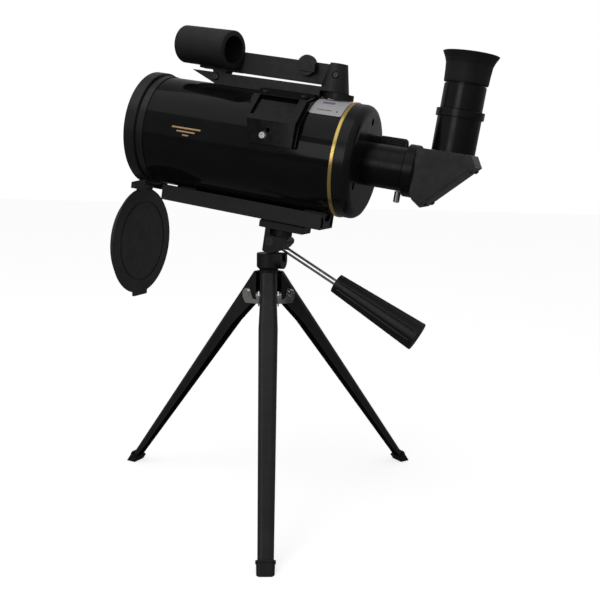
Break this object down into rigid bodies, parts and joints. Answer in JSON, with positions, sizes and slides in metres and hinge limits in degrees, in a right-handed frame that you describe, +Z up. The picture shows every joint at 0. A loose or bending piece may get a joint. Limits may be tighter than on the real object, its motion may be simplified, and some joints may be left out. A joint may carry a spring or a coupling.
{
  "type": "maksutov telescope",
  "caption": "Compact catadioptric telescope on a folding table tripod, with a right-angle diagonal, eyepiece, reflex finder, hinged lens cap and pan and tilt head.",
  "frame": {"origin": "centre of the bounding box on the table plane, under the foot ends", "axes": "+Z up; -X the way the telescope looks, +X the eyepiece end; +Y to the right of an observer looking along -X"},
  "size_m": [0.3666, 0.2944, 0.4298],
  "materials": {
    "tube_gloss": "gloss black lacquer",
    "ring_satin": "satin black",
    "cell_gloss": "gloss black",
    "gold_trim": "gold anodised",
    "optic_glass": "coated glass",
    "window_glass": "red-reflecting glass",
    "mirror_coat": "aluminised",
    "inner_black": "matt black inside",
    "back_satin": "satin black anodised",
    "diagonal_plastic": "satin dark grey",
    "eyepiece_gloss": "gloss black",
    "barrel_chrome": "bright",
    "eyecup_rubber": "soft rubber",
    "knob_rubber": "ribbed rubber",
    "knob_plastic": "black",
    "finder_plastic": "fine grained black",
    "saddle_plastic": "black",
    "cap_plastic": "fine grained black",
    "screw_black": "blackened",
    "screw_bright": "bright",
    "bolt_steel": "plain steel",
    "rod_chrome": "chrome plated",
    "bracket_chrome": "chrome plated",
    "lamp_red": "clear red",
    "rail_black": "black anodised",
    "head_black": "satin black",
    "grip_plastic": "ribbed black",
    "pad_rubber": "thin pad",
    "leg_paint": "satin black paint",
    "foot_rubber": "rubber boot"
  },
  "bodies": {
    "tripod": {"tripod_hub": "head_black", "pan_spindle": "bolt_steel", "leg_bracket": "bracket_chrome", "leg_screws": "bracket_chrome"},
    "leg_a": {"leg_1": "leg_paint", "foot_1": "foot_rubber"},
    "leg_b": {"leg_2": "leg_paint", "foot_2": "foot_rubber"},
    "leg_c": {"leg_3": "leg_paint", "foot_3": "foot_rubber"},
    "pan": {"pan_base": "head_black", "tilt_bolt": "screw_black"},
    "scope": {"tilt_block": "head_black", "camera_platform": "head_black", "platform_pad": "pad_rubber", "mounting_rail": "rail_black", "rail_shoes": "rail_black", "rail_screws": "bolt_steel", "main_tube": "tube_gloss", "front_ring": "ring_satin", "cap_hinge_pin": "screw_black", "corrector_lens": "optic_glass", "corrector_retainer": "ring_satin", "secondary_mirror": "mirror_coat", "baffle_tube": "inner_black", "rear_cell": "cell_gloss", "gold_trim_ring": "gold_trim", "collimation_screws": "screw_black", "visual_back": "back_satin", "finder_saddle": "saddle_plastic", "saddle_screws": "screw_bright", "finder_arm": "finder_plastic", "finder_arm_screws": "screw_black"},
    "handle": {"handle_rod": "rod_chrome", "handle_grip": "grip_plastic"},
    "camera_bolt": {"camera_bolt": "knob_plastic"},
    "cap": {"lens_cap": "cap_plastic"},
    "focuser": {"focus_knob": "knob_rubber", "focus_screw": "bolt_steel"},
    "mirror": {"primary_mirror": "mirror_coat", "mirror_carrier": "inner_black"},
    "diagonal": {"diagonal_nosepiece": "back_satin", "diagonal_housing": "diagonal_plastic", "diagonal_cover_plate": "diagonal_plastic", "diagonal_cover_screws": "screw_black", "diagonal_prism": "optic_glass", "eyepiece_socket": "eyepiece_gloss"},
    "eyepiece": {"eyepiece_barrel": "barrel_chrome", "eyepiece_body": "eyepiece_gloss", "eyepiece_lenses": "optic_glass", "eyecup": "eyecup_rubber"},
    "back_clamp": {"visual_back_thumbscrew": "rod_chrome"},
    "socket_clamp": {"socket_thumbscrew": "rod_chrome"},
    "sight": {"finder_beam": "finder_plastic", "finder_window": "window_glass", "finder_lamp": "lamp_red", "finder_battery": "bolt_steel", "battery_cap": "finder_plastic"},
    "sight_wheel": {"finder_height_wheel": "knob_plastic"},
    "dimmer": {"brightness_wheel": "knob_plastic"}
  },
  "joints": [
    {"name": "leg_a_fold", "type": "hinge", "parent": "tripod", "child": "leg_a", "pos_m": [-0.00853, -0.00624, 0.19], "axis": [0.9239, 0.3827, 0], "range_deg": [0, 38]},
    {"name": "leg_b_fold", "type": "hinge", "parent": "tripod", "child": "leg_b", "pos_m": [-0.00446, 0.02467, 0.19], "axis": [-0.7934, 0.6088, 0], "range_deg": [0, 38]},
    {"name": "leg_c_fold", "type": "hinge", "parent": "tripod", "child": "leg_c", "pos_m": [-0.03327, 0.01274, 0.19], "axis": [-0.1305, -0.9914, 0], "range_deg": [0, 38]},
    {"name": "head_pan", "type": "hinge", "parent": "tripod", "child": "pan", "pos_m": [-0.01542, 0.01039, 0.22], "axis": [0, 0, 1], "range_deg": [-170, 170]},
    {"name": "head_tilt", "type": "hinge", "parent": "pan", "child": "scope", "pos_m": [-0.01157, 0.01039, 0.23828], "axis": [0, 1, 0], "range_deg": [-25, 12]},
    {"name": "handle_twist", "type": "hinge", "parent": "scope", "child": "handle", "pos_m": [-0.01157, 0.01039, 0.23828], "axis": [0.8678, 0, -0.497], "range_deg": [-60, 60]},
    {"name": "camera_bolt_turn", "type": "hinge", "parent": "scope", "child": "camera_bolt", "pos_m": [-0.00181, 0.01039, 0.24591], "axis": [0.1495, 0, 0.9888], "range_deg": [-180, 180]},
    {"name": "cap_swing", "type": "hinge", "parent": "scope", "child": "cap", "pos_m": [-0.14392, 0.01039, 0.28662], "axis": [0, 1, 0], "range_deg": [0, 183.5]},
    {"name": "focus_turn", "type": "hinge", "parent": "scope", "child": "focuser", "pos_m": [0.08615, 0.03139, 0.32464], "axis": [0.9888, 0, -0.1495], "range_deg": [-1080, 1080]},
    {"name": "mirror_slide", "type": "slide", "parent": "scope", "child": "mirror", "axis": [0.9888, 0, -0.1495], "range_m": [-0.00225, 0.00225]},
    {"name": "diagonal_turn", "type": "hinge", "parent": "scope", "child": "diagonal", "pos_m": [0.10323, 0.01039, 0.30386], "axis": [0.9888, 0, -0.1495], "range_deg": [-90, 90]},
    {"name": "eyepiece_slide", "type": "slide", "parent": "diagonal", "child": "eyepiece", "axis": [0.1495, 0, 0.9888], "range_m": [0, 0.024]},
    {"name": "back_clamp_turn", "type": "hinge", "parent": "scope", "child": "back_clamp", "pos_m": [0.10261, 0.01039, 0.27968], "axis": [-0.1495, 0, -0.9888], "range_deg": [-180, 180]},
    {"name": "socket_clamp_turn", "type": "hinge", "parent": "diagonal", "child": "socket_clamp", "pos_m": [0.15352, 0.03439, 0.34813], "axis": [0, 1, 0], "range_deg": [-180, 180]},
    {"name": "sight_wheel_turn", "type": "hinge", "parent": "scope", "child": "sight_wheel", "pos_m": [0.04891, 0.01039, 0.36466], "axis": [0.1495, 0, 0.9888], "range_deg": [-720, 720]},
    {"name": "sight_tilt", "type": "hinge", "parent": "scope", "child": "sight", "pos_m": [-0.06232, 0.01039, 0.38351], "axis": [0, 1, 0], "range_deg": [-0.9, 0.9], "stiffness_Nm_per_rad": 0.052, "springref_deg": -17.19},
    {"name": "dimmer_turn", "type": "hinge", "parent": "sight", "child": "dimmer", "pos_m": [0.02231, 0.00379, 0.39073], "axis": [0, 1, 0], "range_deg": [-150, 150]}
  ],
  "couplings": [
    {"joint": "focus_turn", "follows": "mirror_slide", "rad_per_m": -8377.5},
    {"joint": "sight_wheel_turn", "follows": "sight_tilt", "ratio": -799.5}
  ]
}
